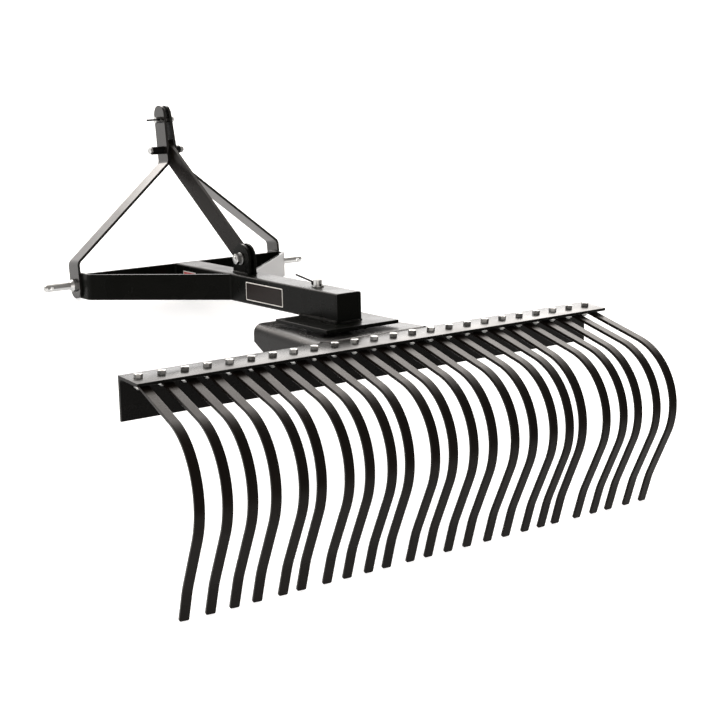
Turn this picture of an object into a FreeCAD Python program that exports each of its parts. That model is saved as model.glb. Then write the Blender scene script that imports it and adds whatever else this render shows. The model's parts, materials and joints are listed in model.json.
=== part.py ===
import FreeCAD, Part
import Sketcher
import math
import os
from FreeCAD import Placement, Rotation, Vector

# Landscape rake for a category 1 three-point hitch.
# Working frame while modelling: X to the right, Y forward to the tractor, Z up.
# Y = 0 is the row of tine bolts, Z = 0 is the level of the tine tips.
# At the end everything is leant forward by one angle, as the rake stands when it is
# unhitched: on its tine tips and on the feet of the two mast straps.

doc = FreeCAD.newDocument("LandscapeRake")
sheet = doc.addObject("Spreadsheet::Sheet", "Sizes")

SIZES = [
    ("tine_pitch", 63.5, "distance between tines"),
    ("tine_width", 25, "width of the tine's flat bar"),
    ("tine_thick", 8, "thickness of the tine's flat bar"),
    ("tine_gap", 2.5, "tine's front end behind the rounded root of the angle"),
    ("tine_flat", 12, "level run behind the bolt"),
    ("tine_bend_radius", 60, "first bend behind the bolt"),
    ("tine_droop", 15, "slope of the upper run, degrees"),
    ("tine_reach", 200, "length of the upper run"),
    ("tine_belly_radius", 176, "radius of the big bend"),
    ("tine_belly_turn", 102, "turn of the big bend, degrees"),
    ("tine_shank", 134, "straight run under the big bend"),
    ("tine_toe_radius", 200, "radius of the counter bend at the toe"),
    ("tine_toe_turn", 8, "turn of the counter bend, degrees"),
    ("tine_toe", 72, "straight toe"),
    ("tine_corner", 3, "rounding of the toe's corners"),
    ("tine_hole", 13, "bolt hole in tine and bar"),
    ("bar_length", 1524, "length of the angle bar"),
    ("bar_flange", 94, "width of the bar's top leg"),
    ("bar_leg", 113, "depth of the bar's hanging leg"),
    ("bar_thick", 8, "thickness of the angle bar"),
    ("bar_edge", 52, "bolt row to the rear edge of the top leg"),
    ("bar_tilt", 4.2, "rise of the top leg to the front, degrees"),
    ("bar_top", 535, "height of the bar's top at the bolt row"),
    ("bar_root", 9, "inner radius of the angle"),
    ("bolt_across", 19, "bolt head across flats"),
    ("bolt_head", 10, "bolt head height"),
    ("bolt_nut", 10, "nut height"),
    ("bolt_thread", 12, "bolt diameter"),
    ("bolt_tail", 4, "thread below the nut"),
    ("bracket_rear", 390, "width of the head bracket at the bar"),
    ("bracket_front", 306, "width of the head bracket in front"),
    ("bracket_depth", 348, "head bracket, bar to front edge"),
    ("bracket_drop", 106, "depth of the bracket's cheeks at the bar"),
    ("bracket_nose", 49, "depth of the cheeks in front"),
    ("bracket_run", 203, "full depth of the cheeks, from the bar"),
    ("bracket_thick", 8, "bracket plate thickness"),
    ("bracket_bend", 26, "outer bend radius of the bracket"),
    ("bracket_rise", 5, "bracket top above the bar's top at the bolt row"),
    ("pivot_ahead", 209, "king pin ahead of the bolt row"),
    ("pivot_thread", 30, "king pin diameter"),
    ("pivot_collar", 80, "thrust collar diameter"),
    ("pivot_washer", 5, "king pin washer thickness"),
    ("pivot_nut", 22, "king pin nut height"),
    ("pivot_tail", 15, "king pin below its nut"),
    ("pivot_gap", 8, "gap between turntable plate and bracket"),
    ("plate_side", 240, "turntable plate, square"),
    ("plate_thick", 10, "turntable plate thickness"),
    ("index_radius", 86, "lock pin to king pin"),
    ("index_step", 20, "step of the index holes, degrees"),
    ("index_hole", 17, "index hole"),
    ("lock_thread", 16, "lock pin diameter"),
    ("lock_head", 25, "lock pin head diameter"),
    ("lock_head_tall", 15, "lock pin head height"),
    ("lock_washer", 34, "washer under the lock pin head"),
    ("lock_washer_thick", 4, "its thickness"),
    ("clip_thick", 5, "wire of the lock pin's clip"),
    ("clip_long", 119, "length of the clip"),
    ("clip_back", 14, "clip behind the lock pin"),
    ("clip_up", 3.5, "clip above the washer"),
    ("clip_rise", 8, "rise of the clip to the front, degrees"),
    ("clip_eye", 7, "eye of the clip, over the middle of its wire"),
    ("clip_eye_gap", 1.5, "eye of the clip ahead of the washer"),
    ("boom_side", 80, "boom tube, square"),
    ("boom_wall", 6, "boom tube wall"),
    ("boom_rear", 150, "rear end of the boom"),
    ("cap_thick", 6, "plate closing the boom"),
    ("cross_ahead", 998, "rear face of the cross bar"),
    ("frame_bar", 76, "height of the hitch frame's flat bar"),
    ("frame_thick", 10, "thickness of the hitch frame's flat bar"),
    ("frame_nose", 88, "side bar, bend to front end"),
    ("frame_bend", 20, "bend radius of the side bar"),
    ("frame_corner", 30, "rounding of the side bar's nose"),
    ("frame_root", 647, "where the side bars' lines meet on the boom"),
    ("hitch_spread", 720, "over the mast straps' outer faces"),
    ("hitch_ahead", 1047, "lower hitch pins ahead of the bolt row"),
    ("pin_thread", 22, "lower hitch pin diameter"),
    ("pin_long", 76, "free length of the lower hitch pin"),
    ("pin_collar", 34, "shoulder of the lower hitch pin"),
    ("pin_shoulder", 18, "length of the shoulder"),
    ("pin_nut", 34, "nut of the hitch pin across flats"),
    ("pin_nut_thick", 18, "height of that nut"),
    ("pin_tail", 6, "hitch pin inside its nut"),
    ("pin_point", 6, "length of the hitch pin's pointed end"),
    ("pin_tip", 14, "diameter of the hitch pin's tip"),
    ("pin_hole", 11, "linch pin hole in the hitch pin"),
    ("pin_hole_in", 14, "linch pin hole before the pointed end"),
    ("strap_width", 60, "mast strap width"),
    ("strap_thick", 8, "mast strap thickness"),
    ("strap_foot", 105, "strap, bottom end to lower bend"),
    ("strap_below", 40, "strap's bottom end below the hitch pin"),
    ("strap_rise", 384, "strap, bottom end to upper bend"),
    ("strap_head", 175, "strap, upper bend to top"),
    ("strap_radius", 20, "bend radius of the straps"),
    ("strap_corner", 29, "rounding of the straps' ends"),
    ("mast_gap", 22, "gap between the two straps at the top"),
    ("mast_lean", 5.9, "forward lean of the mast, degrees"),
    ("mast_close", 4, "inward lean of the right strap's top, degrees"),
    ("link_below", 44, "top link pin below the strap's top"),
    ("link_thread", 19, "top link pin diameter"),
    ("link_left", 15, "top link pin out of the left strap"),
    ("link_right", 9, "top link pin out of the right strap"),
    ("linch_thick", 5.5, "wire of the top link pin's keeper"),
    ("linch_out", 8, "keeper ahead of the top link pin"),
    ("linch_long", 44, "handle of the keeper"),
    ("tie_up", 38, "cross bolt above the upper bend"),
    ("tie_thread", 12, "cross bolt diameter"),
    ("tie_across", 19, "cross bolt across flats"),
    ("tie_head", 8, "cross bolt head height"),
    ("tie_nut", 10, "cross bolt nut height"),
    ("tie_tail", 4, "cross bolt beyond its nut"),
    ("tie_spacer", 24, "spacer tube diameter"),
    ("spacer_left", 36, "left spacer tube length"),
    ("spacer_right", 24, "right spacer tube length"),
    ("brace_width", 60, "brace flat bar width"),
    ("brace_thick", 10, "brace flat bar thickness"),
    ("lug_ahead", 665, "brace lugs ahead of the bolt row"),
    ("lug_thick", 8, "lug thickness"),
    ("lug_width", 86, "lug width"),
    ("lug_up", 43, "brace bolt above the boom"),
    ("lug_corner", 42.5, "rounding of the lugs' tops"),
    ("lug_bolt", 18, "brace bolt diameter"),
    ("lug_across", 27, "brace bolt across flats"),
    ("lug_washer", 4, "brace bolt washer thickness"),
    ("lug_nut", 16, "brace bolt nut height, on the left"),
    ("lug_head", 12, "brace bolt head height"),
    ("lug_tail", 3, "brace bolt beyond its nut"),
    ("seat", 0.3, "play where pieces seat on each other"),
]
# How far each tine stands turned to the left on its one bolt, in degrees.
SPLAYS = [8, 6.5, 6, 6, 4, 6, 3.5, 4, 3.5, 5, 2.5, 3.5,
          3, 3, 1.5, 1.5, 0.5, 1.5, 4, 0.3, 0.2, 1.5, 0.2, 0.2]
for i, turn in enumerate(SPLAYS, 1):
    SIZES.append(("splay_%02d" % i, turn, "turn of tine %d on its bolt, degrees" % i))
for row, (alias, value, note) in enumerate(SIZES, 1):
    sheet.set("A%d" % row, note)
    sheet.set("B%d" % row, str(value))
    sheet.setAlias("B%d" % row, alias)
doc.recompute()


def size(alias):
    """One value of the sheet, in millimetres or degrees."""
    return float(sheet.get(alias))


class Expr(str):
    """Marks text that goes into the expression engine, with the sheet's name filled in."""

    def __new__(cls, text):
        for alias in sorted((s[0] for s in SIZES), key=len, reverse=True):
            text = text.replace("{%s}" % alias, "Sizes.%s" % alias)
        return str.__new__(cls, text)


def number(text):
    """Value of an expression, worked out by the document."""
    value = sheet.evalExpression(Expr(text))
    return float(getattr(value, "Value", value))


pieces = []


def keep(obj, label, place):
    """Gives a finished sub-part its own label and its place in the working frame."""
    obj.Label = label
    pieces.append((obj, place))
    return obj


def new_body(name):
    return doc.addObject("PartDesign::Body", name)


def new_sketch(body, name, role):
    sk = body.newObject("Sketcher::SketchObject", name)
    plane = [f for f in body.Origin.OriginFeatures if f.Role == role][0]
    sk.AttachmentSupport = [(plane, "")]
    sk.MapMode = "FlatFace"
    return sk


def drive(sk, kind, args, text):
    """Adds a dimension to a sketch and binds it to the sheet."""
    index = sk.addConstraint(Sketcher.Constraint(kind, *args, math.radians(number(text))
                                                 if kind == "Angle" else number(text)))
    sk.setExpression("Constraints[%d]" % index,
                     Expr("(" + text + ") * 1 deg") if kind == "Angle" else Expr(text))
    return index


def outline(sk, corners):
    """Closed outline through corners given as pairs of expressions."""
    pts = [(number(a), number(b)) for a, b in corners]
    count = len(pts)
    first = sk.GeometryCount
    for i in range(count):
        p, q = pts[i], pts[(i + 1) % count]
        sk.addGeometry(Part.LineSegment(Vector(p[0], p[1], 0), Vector(q[0], q[1], 0)))
    for i in range(count):
        sk.addConstraint(Sketcher.Constraint("Coincident", first + i, 2,
                                             first + (i + 1) % count, 1))
    for i, (a, b) in enumerate(corners):
        drive(sk, "DistanceX", (-1, 1, first + i, 1), a)
        drive(sk, "DistanceY", (-1, 1, first + i, 1), b)


def box_outline(sk, wide, tall, mid_x="0", mid_y="0"):
    """Rectangle of a given width and height around a middle point."""
    left, right = "%s - (%s) / 2" % (mid_x, wide), "%s + (%s) / 2" % (mid_x, wide)
    low, high = "%s - (%s) / 2" % (mid_y, tall), "%s + (%s) / 2" % (mid_y, tall)
    outline(sk, [(left, low), (right, low), (right, high), (left, high)])


def ring(sk, across, x="0", y="0"):
    """Circle of a given diameter."""
    index = sk.addGeometry(Part.Circle(Vector(number(x), number(y), 0), Vector(0, 0, 1),
                                       number(across) / 2))
    drive(sk, "DistanceX", (-1, 1, index, 3), x)
    drive(sk, "DistanceY", (-1, 1, index, 3), y)
    drive(sk, "Radius", (index,), "(%s) / 2" % across)


def pad(body, sk, length, symmetric=False, back=False):
    feature = body.newObject("PartDesign::Pad", sk.Name + "_pad")
    feature.Profile = sk
    if symmetric:
        feature.SideType = "Symmetric"
    feature.Reversed = back
    feature.setExpression("Length", Expr(length))
    sk.Visibility = False
    doc.recompute()
    return feature


def pocket(body, sk):
    """Cuts right through the body, both ways from the sketch."""
    before = body.Shape.Volume
    feature = body.newObject("PartDesign::Pocket", sk.Name + "_cut")
    feature.Profile = sk
    feature.Type = "ThroughAll"
    feature.SideType = "Symmetric"
    sk.Visibility = False
    doc.recompute()
    if body.Shape.Volume >= before - 1:
        raise RuntimeError(sk.Name + " cuts nothing")
    return feature


def chain(sk, heading, steps, end=None):
    """Smooth chain of straight runs and bends from the sketch's origin.

    A run is ("run", length guess, length text or None, angle text or None) and a bend is
    ("bend", radius text, turn guess in degrees, left turns positive). end, if given, is
    the pair of expressions for the last point.
    """
    x = y = 0.0
    a = math.radians(heading)
    made = []
    for step in steps:
        if step[0] == "run":
            nx, ny = x + step[1] * math.cos(a), y + step[1] * math.sin(a)
            g = sk.addGeometry(Part.LineSegment(Vector(x, y, 0), Vector(nx, ny, 0)))
            made.append((g, 1, 2, step))
        else:
            r, turn = number(step[1]), math.radians(step[2])
            side = 1 if turn > 0 else -1
            cx, cy = x - side * r * math.sin(a), y + side * r * math.cos(a)
            b = a + turn
            nx, ny = cx + side * r * math.sin(b), cy - side * r * math.cos(b)
            start = math.atan2(y - cy, x - cx)
            stop = math.atan2(ny - cy, nx - cx)
            if side < 0:
                start, stop = stop, start
            circle = Part.Circle(Vector(cx, cy, 0), Vector(0, 0, 1), r)
            g = sk.addGeometry(Part.ArcOfCircle(circle, start, stop))
            made.append((g, 1, 2, step) if side > 0 else (g, 2, 1, step))
            a = b
        x, y = nx, ny
    sk.addConstraint(Sketcher.Constraint("Coincident", -1, 1, made[0][0], made[0][1]))
    for left, right in zip(made, made[1:]):
        sk.addConstraint(Sketcher.Constraint("Tangent", left[0], left[2], right[0], right[1]))
    for g, start, stop, step in made:
        if step[0] == "bend":
            drive(sk, "Radius", (g,), step[1])
        else:
            if step[2]:
                drive(sk, "Distance", (g,), step[2])
            if step[3]:
                drive(sk, "Angle", (g,), step[3])
    if end:
        drive(sk, "DistanceX", (-1, 1, made[-1][0], made[-1][2]), end[0])
        drive(sk, "DistanceY", (-1, 1, made[-1][0], made[-1][2]), end[1])


def bent_bar(name, path_role, heading, steps, profile_role, wide, tall, end=None):
    """Flat bar carried along a bent path that starts at the body's origin."""
    body = new_body(name)
    path = new_sketch(body, name + "_path", path_role)
    chain(path, heading, steps, end)
    profile = new_sketch(body, name + "_profile", profile_role)
    box_outline(profile, wide, tall)
    doc.recompute()
    pipe = body.newObject("PartDesign::AdditivePipe", name + "_pipe")
    pipe.Profile = profile
    pipe.Spine = path
    path.Visibility = profile.Visibility = False
    doc.recompute()
    return body


def round_edges(body, name, radius, test):
    """Rounds the edges whose two ends both pass the test."""
    feature = body.newObject("PartDesign::Fillet", name)
    edges = ["Edge%d" % (i + 1) for i, e in enumerate(body.Shape.Edges)
             if len(e.Vertexes) == 2 and test(e)]
    feature.Base = (body.Tip if body.Tip != feature else feature.BaseFeature, edges)
    feature.setExpression("Radius", Expr(radius))
    doc.recompute()
    return feature


def across_edges(axis, near):
    """Picks straight edges that run along an axis and lie where near() says."""
    def test(e):
        a, b = e.Vertexes[0].Point, e.Vertexes[1].Point
        d = b - a
        along = abs(getattr(d, axis)) > 0.9 * d.Length
        return along and near(a) and near(b)
    return test


def cylinder(name, across, length, place):
    obj = doc.addObject("Part::Cylinder", name)
    obj.setExpression("Radius", Expr("(%s) / 2" % across))
    obj.setExpression("Height", Expr(length))
    doc.recompute()
    obj.Placement = place
    return obj


def cone(name, low, high, length, place):
    obj = doc.addObject("Part::Cone", name)
    obj.setExpression("Radius1", Expr("(%s) / 2" % low))
    obj.setExpression("Radius2", Expr("(%s) / 2" % high))
    obj.setExpression("Height", Expr(length))
    doc.recompute()
    obj.Placement = place
    return obj


def prism(name, across, length, place):
    """Hexagonal prism for heads and nuts, standing on its local XY plane."""
    obj = doc.addObject("Part::Prism", name)
    obj.Polygon = 6
    obj.setExpression("Circumradius", Expr("(%s) / 2 / cos(30)" % across))
    obj.setExpression("Height", Expr(length))
    doc.recompute()
    obj.Placement = place
    return obj


def fuse(name, parts):
    obj = doc.addObject("Part::MultiFuse", name)
    obj.Shapes = parts
    doc.recompute()
    for p in parts:
        p.Visibility = False
    return obj


def cut(name, base, tool):
    obj = doc.addObject("Part::Cut", name)
    obj.Base = base
    obj.Tool = tool
    doc.recompute()
    base.Visibility = tool.Visibility = False
    return obj


def at(x, y, z, rotation=Rotation()):
    return Placement(Vector(x, y, z), rotation)


ALONG_X = Rotation(Vector(0, 1, 0), 90)       # local Z points to +X
AGAINST_X = Rotation(Vector(0, 1, 0), -90)    # local Z points to -X
ALONG_Y = Rotation(Vector(1, 0, 0), -90)      # local Z points to +Y

# ---------------------------------------------------------------- tine bar and tines
# Bar, tines and bolts are drawn level, with Z = 0 on the bar's top, and tilted as one.
bar_place = Placement(Vector(0, 0, size("bar_top")),
                      Rotation(Vector(1, 0, 0), size("bar_tilt")))
COUNT = "floor({bar_length} / {tine_pitch} + 0.01)"
tine_count = int(number(COUNT))
first_x = -(tine_count - 1) / 2 * size("tine_pitch")
lean_in, lean_down = "sin({bar_tilt})", "cos({bar_tilt})"
rear, front = "-{bar_edge}", "({bar_flange} - {bar_edge})"
inner = "%s - {bar_thick} / %s * (1 + %s)" % (front, lean_down, lean_in)
lead = "(%s - {bar_root} / tan((90 - {bar_tilt}) / 2) - {tine_gap})" % inner


def make_tine(number_of, splay):
    name = "tine_%02d" % number_of
    droop = "({tine_droop} - {bar_tilt})"
    body = bent_bar(name, "YZ_Plane", 180, [
        ("run", number(lead + " + {tine_flat}"), lead + " + {tine_flat}", "180"),
        ("bend", "{tine_bend_radius}", number(droop)),
        ("run", size("tine_reach"), "{tine_reach}", "180 + " + droop),
        ("bend", "{tine_belly_radius}", size("tine_belly_turn")),
        ("run", size("tine_shank"), "{tine_shank}", droop + " + {tine_belly_turn} - 180"),
        ("bend", "{tine_toe_radius}", -size("tine_toe_turn")),
        ("run", size("tine_toe"), "{tine_toe}",
         droop + " + {tine_belly_turn} - {tine_toe_turn} - 180"),
    ], "XZ_Plane", "{tine_width}", "{tine_thick}")
    low = body.Shape.BoundBox.ZMin
    toe = size("tine_toe") * 0.5
    round_edges(body, name + "_corners", "{tine_corner}", lambda e: (
        all(v.Point.z < low + toe for v in e.Vertexes)
        and abs(e.Vertexes[0].Point.x - e.Vertexes[1].Point.x) < size("tine_corner") / 9
        and e.Length < size("tine_thick") * 1.1))
    hole = new_sketch(body, name + "_hole", "XY_Plane")
    ring(hole, "{tine_hole}", "0", "-" + lead)
    feature = body.newObject("PartDesign::Pocket", name + "_hole_cut")
    feature.Profile = hole
    feature.SideType = "Symmetric"
    feature.setExpression("Length", Expr("{tine_thick} * 3"))
    doc.recompute()
    turn = at(first_x + (number_of - 1) * size("tine_pitch"), 0,
              -size("bar_thick") - size("tine_thick") / 2, Rotation(Vector(0, 0, 1), -splay))
    return keep(body, name, bar_place * turn * at(0, number(lead), 0))


# A longer bar's further tines stand turned as the last one listed.
for i in range(tine_count):
    make_tine(i + 1, size("splay_%02d" % min(i + 1, len(SPLAYS))))

bar = new_body("tine_bar")
section = new_sketch(bar, "bar_section", "YZ_Plane")
foot_y, foot_z = "%s - {bar_leg} * %s" % (front, lean_in), "-{bar_leg} * " + lean_down
outline(section, [
    (rear, "0"), (rear, "-{bar_thick}"), (inner, "-{bar_thick}"),
    ("%s - {bar_thick} * %s" % (foot_y, lean_down), "%s + {bar_thick} * %s" % (foot_z, lean_in)),
    (foot_y, foot_z), (front, "0")])
pad(bar, section, "{bar_length}", symmetric=True)
inner_y, inner_z = number(inner), -size("bar_thick")
round_edges(bar, "bar_root_round", "{bar_root}", lambda e: all(
    math.hypot(v.Point.y - inner_y, v.Point.z - inner_z) < size("bar_root") / 9
    for v in e.Vertexes))
bar_holes = new_sketch(bar, "bar_holes", "XY_Plane")
ring(bar_holes, "{tine_hole}", "-(%s - 1) / 2 * {tine_pitch}" % COUNT, "0")
hole_cut = pocket(bar, bar_holes)
hole_row = bar.newObject("PartDesign::LinearPattern", "bar_hole_row")
hole_row.Originals = [hole_cut]
hole_row.Direction = (bar_holes, ["H_Axis"])
hole_row.setExpression("Length", Expr("(%s - 1) * {tine_pitch}" % COUNT))
hole_row.setExpression("Occurrences", Expr(COUNT))
bar.Tip = hole_row
doc.recompute()
keep(bar, "tine_bar", bar_place)

bolts = []
grip = "({bar_thick} + {tine_thick})"
stem_length = grip + " + {bolt_head} / 2 + {bolt_nut} + {bolt_tail}"
for i in range(tine_count):
    x = first_x + i * size("tine_pitch")
    head = prism("bolt_head_%02d" % (i + 1), "{bolt_across}", "{bolt_head}",
                 at(x, 0, 0, Rotation(Vector(0, 0, 1), 17 * i)))
    stem = cylinder("bolt_stem_%02d" % (i + 1), "{bolt_thread}", stem_length,
                    at(x, 0, size("bolt_head") / 2 - number(stem_length)))
    nut = prism("bolt_nut_%02d" % (i + 1), "{bolt_across}", "{bolt_nut}",
                at(x, 0, -number(grip) - size("bolt_nut"), Rotation(Vector(0, 0, 1), 23 * i)))
    bolts.append(fuse("bolt_%02d" % (i + 1), [head, stem, nut]))
all_bolts = doc.addObject("Part::Compound", "tine_bolts")
all_bolts.Links = bolts
doc.recompute()
keep(all_bolts, "tine_bolts", bar_place)

# ---------------------------------------------------------------- head bracket
bracket = new_body("head_bracket")
bracket_back = front + " * cos({bar_tilt}) + {seat}"
bracket_top = number("{bar_top} + {bracket_rise}")


def cheek_section(sk, wide):
    """Inverted U of the folded plate: flat top, round bends, two cheeks."""
    half, drop = "(%s) / 2" % wide, "{bracket_drop}"
    t, r = "{bracket_thick}", "{bracket_bend}"
    big, small = number(r), number(r) - number(t)
    hw, d, th = number(half), number(drop), number(t)
    cx = hw - big

    def arc(x, radius, a0, a1):
        circle = Part.Circle(Vector(x, -big, 0), Vector(0, 0, 1), radius)
        return sk.addGeometry(Part.ArcOfCircle(circle, math.radians(a0), math.radians(a1)))

    def line(x0, y0, x1, y1):
        return sk.addGeometry(Part.LineSegment(Vector(x0, y0, 0), Vector(x1, y1, 0)))

    top = line(-cx, 0, cx, 0)
    right_out = arc(cx, big, 0, 90)
    right_cheek = line(hw, -big, hw, -d)
    right_foot = line(hw, -d, hw - th, -d)
    right_in_line = line(hw - th, -d, hw - th, -big)
    right_in = arc(cx, small, 0, 90)
    under = line(cx, -th, -cx, -th)
    left_in = arc(-cx, small, 90, 180)
    left_in_line = line(-hw + th, -big, -hw + th, -d)
    left_foot = line(-hw + th, -d, -hw, -d)
    left_cheek = line(-hw, -d, -hw, -big)
    left_out = arc(-cx, big, 90, 180)
    joint = Sketcher.Constraint
    for a, pa, b, pb in ((top, 2, right_out, 2), (right_out, 1, right_cheek, 1),
                         (right_in_line, 2, right_in, 1), (right_in, 2, under, 1),
                         (under, 2, left_in, 1), (left_in, 2, left_in_line, 1),
                         (left_cheek, 2, left_out, 2), (left_out, 1, top, 1)):
        sk.addConstraint(joint("Tangent", a, pa, b, pb))
    for a, pa, b, pb in ((right_cheek, 2, right_foot, 1), (right_foot, 2, right_in_line, 1),
                         (left_in_line, 2, left_foot, 1), (left_foot, 2, left_cheek, 1)):
        sk.addConstraint(joint("Coincident", a, pa, b, pb))
    for g in (top, right_foot, left_foot):
        sk.addConstraint(joint("Horizontal", g))
    for g in (right_cheek, left_cheek):
        sk.addConstraint(joint("Vertical", g))
    drive(sk, "DistanceY", (-1, 1, top, 1), "0")
    drive(sk, "Radius", (right_out,), r)
    drive(sk, "Radius", (left_out,), r)
    drive(sk, "DistanceX", (-1, 1, right_cheek, 2), half)
    drive(sk, "DistanceX", (-1, 1, left_cheek, 1), "-(%s)" % half)
    drive(sk, "DistanceY", (-1, 1, right_cheek, 2), "-" + drop)
    drive(sk, "DistanceY", (-1, 1, left_cheek, 1), "-" + drop)
    drive(sk, "DistanceX", (right_foot, 2, right_foot, 1), t)
    drive(sk, "DistanceX", (left_foot, 2, left_foot, 1), t)
    drive(sk, "DistanceY", (under, 1, top, 2), t)
    sk.addConstraint(joint("Horizontal", under))
    sk.addConstraint(joint("Vertical", right_in_line))
    sk.addConstraint(joint("Vertical", left_in_line))


wide_end = new_sketch(bracket, "bracket_wide_end", "XZ_Plane")
cheek_section(wide_end, "{bracket_rear}")
narrow_end = new_sketch(bracket, "bracket_narrow_end", "XZ_Plane")
narrow_end.setExpression("AttachmentOffset.Base.z", Expr("-{bracket_depth}"))
cheek_section(narrow_end, "{bracket_front}")
doc.recompute()
loft = bracket.newObject("PartDesign::AdditiveLoft", "bracket_loft")
loft.Profile = wide_end
loft.Sections = [narrow_end]
loft.Ruled = True
doc.recompute()
trim = new_sketch(bracket, "bracket_trim", "YZ_Plane")
beyond, below = "{bracket_depth} + {bracket_thick}", "-{bracket_drop} - {bracket_thick}"
outline(trim, [("{bracket_run}", "-{bracket_drop}"), ("{bracket_depth}", "-{bracket_nose}"),
               (beyond, "-{bracket_nose}"), (beyond, below), ("{bracket_run}", below)])
pocket(bracket, trim)
bracket_holes = new_sketch(bracket, "bracket_holes", "XY_Plane")
pivot_local = "{pivot_ahead} - (%s)" % bracket_back
ring(bracket_holes, "{pivot_thread} + 2 * {seat}", "0", pivot_local)
for k in (-2, -1, 0, 1, 2, 7, 8, 9, 10, 11):
    angle = "({index_step} * %d)" % k
    ring(bracket_holes, "{index_hole}", "{index_radius} * sin(%s)" % angle,
         pivot_local + " + {index_radius} * cos(%s)" % angle)
pocket(bracket, bracket_holes)
keep(bracket, "head_bracket", at(0, number(bracket_back), bracket_top))

# ---------------------------------------------------------------- turntable and boom
plate_low = bracket_top + size("pivot_gap")
boom_low = plate_low + size("plate_thick")
boom_top = boom_low + size("boom_side")
boom_mid = boom_low + size("boom_side") / 2
pivot_y = size("pivot_ahead")
lock_y = pivot_y + size("index_radius")

plate = new_body("turntable_plate")
plate_sketch = new_sketch(plate, "plate_outline", "XY_Plane")
box_outline(plate_sketch, "{plate_side}", "{plate_side}")
pad(plate, plate_sketch, "{plate_thick}")
plate_holes = new_sketch(plate, "plate_holes", "XY_Plane")
ring(plate_holes, "{pivot_thread} + 2 * {seat}")
ring(plate_holes, "{index_hole}", "0", "{index_radius}")
pocket(plate, plate_holes)
keep(plate, "turntable_plate", at(0, pivot_y, plate_low))

pin_top = size("pivot_gap") + size("plate_thick") - size("seat")
under = -size("bracket_thick") - size("seat") - size("pivot_washer")
collar = cylinder("pivot_collar_disc", "{pivot_collar}", "{pivot_gap} - 2 * {seat}",
                  at(0, 0, size("seat")))
shaft_length = ("{plate_thick} + {pivot_gap} + {bracket_thick} + {pivot_washer} "
                "+ {pivot_nut} + {pivot_tail}")
shaft = cylinder("pivot_shaft", "{pivot_thread}", shaft_length,
                 at(0, 0, pin_top - number(shaft_length)))
pivot_washer = cylinder("pivot_washer", "{pivot_thread} * 2", "{pivot_washer}",
                        at(0, 0, under))
pivot_nut = prism("pivot_nut", "{pivot_thread} * 1.53", "{pivot_nut}",
                  at(0, 0, under - size("pivot_nut")))
king = fuse("king_pin", [collar, shaft, pivot_washer, pivot_nut])
keep(king, "king_pin", at(0, pivot_y, bracket_top))

boom = new_body("boom")
boom_section = new_sketch(boom, "boom_section", "XZ_Plane")
box_outline(boom_section, "{boom_side}", "{boom_side}")
boom_length = "({cross_ahead} - {seat} - {boom_rear} - {cap_thick})"
pad(boom, boom_section, boom_length, back=True)
round_edges(boom, "boom_corners", "{boom_wall}", across_edges("y", lambda p: True))
boom_bore = new_sketch(boom, "boom_bore", "XZ_Plane")
box_outline(boom_bore, "{boom_side} - 2 * {boom_wall}", "{boom_side} - 2 * {boom_wall}")
pocket(boom, boom_bore)
boom_hole = new_sketch(boom, "boom_pin_hole", "XY_Plane")
ring(boom_hole, "{index_hole}", "0",
     "{pivot_ahead} + {index_radius} - {boom_rear} - {cap_thick}")
pocket(boom, boom_hole)
keep(boom, "boom", at(0, size("boom_rear") + size("cap_thick"), boom_mid))

cap = new_body("boom_end_plate")
cap_sketch = new_sketch(cap, "cap_outline", "XZ_Plane")
box_outline(cap_sketch, "{boom_side}", "{boom_side}")
pad(cap, cap_sketch, "{cap_thick}", back=True)
round_edges(cap, "cap_corners", "{boom_wall}", across_edges("y", lambda p: True))
keep(cap, "boom_end_plate", at(0, size("boom_rear"), boom_mid))

# ---------------------------------------------------------------- lock pin and clip
stem_long = "{boom_side} + {plate_thick}"
washer = cylinder("lock_washer_disc", "{lock_washer}", "{lock_washer_thick}",
                  at(0, 0, size("seat")))
head = cylinder("lock_head_body", "{lock_head}", "{lock_head_tall} + {lock_washer_thick}",
                at(0, 0, size("seat")))
stem = cylinder("lock_stem_body", "{lock_thread}", stem_long,
                at(0, 0, size("lock_washer_thick") / 2 - number(stem_long)))
solid_pin = fuse("lock_pin_solid", [washer, head, stem])
clip_place = at(0, 0, number("{seat} + {lock_washer_thick} + {clip_up}"),
                Rotation(Vector(1, 0, 0), size("clip_rise")))
clip_bore = cylinder("lock_clip_bore", "{clip_thick} + 2 * {seat}", "{lock_head} * 2",
                     clip_place * at(0, -size("lock_head"), 0, ALONG_Y))
lock_pin = cut("lock_pin", solid_pin, clip_bore)
keep(lock_pin, "lock_pin", at(0, lock_y, boom_top))
clip_rod = cylinder("clip_rod", "{clip_thick}", "{clip_long}",
                    at(0, -size("clip_back"), 0, ALONG_Y))
clip_eye = doc.addObject("Part::Torus", "clip_eye")
clip_eye.setExpression("Radius1", Expr("{clip_eye} / 2"))
eye_wire = "{clip_thick} * 0.45"
clip_eye.setExpression("Radius2", Expr(eye_wire))
doc.recompute()
eye_ahead = "{lock_washer} / 2 + {clip_eye_gap} + {clip_eye} / 2 + " + eye_wire
clip_eye.Placement = at(0, number(eye_ahead), -size("clip_eye") / 2, ALONG_X)
clip = fuse("lock_clip", [clip_rod, clip_eye])
keep(clip, "lock_clip", at(0, lock_y, boom_top) * clip_place)

# ---------------------------------------------------------------- lower hitch frame
inside = "({hitch_spread} / 2 - {strap_thick} - {seat})"
cross = doc.addObject("Part::Box", "cross_bar")
cross.setExpression("Length", Expr("2 * (%s - {frame_thick} - {seat})" % inside))
cross.setExpression("Width", Expr("{frame_thick}"))
cross.setExpression("Height", Expr("{frame_bar}"))
doc.recompute()
keep(cross, "cross_bar", at(-cross.Length.Value / 2, size("cross_ahead"),
                            boom_mid - size("frame_bar") / 2))

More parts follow.
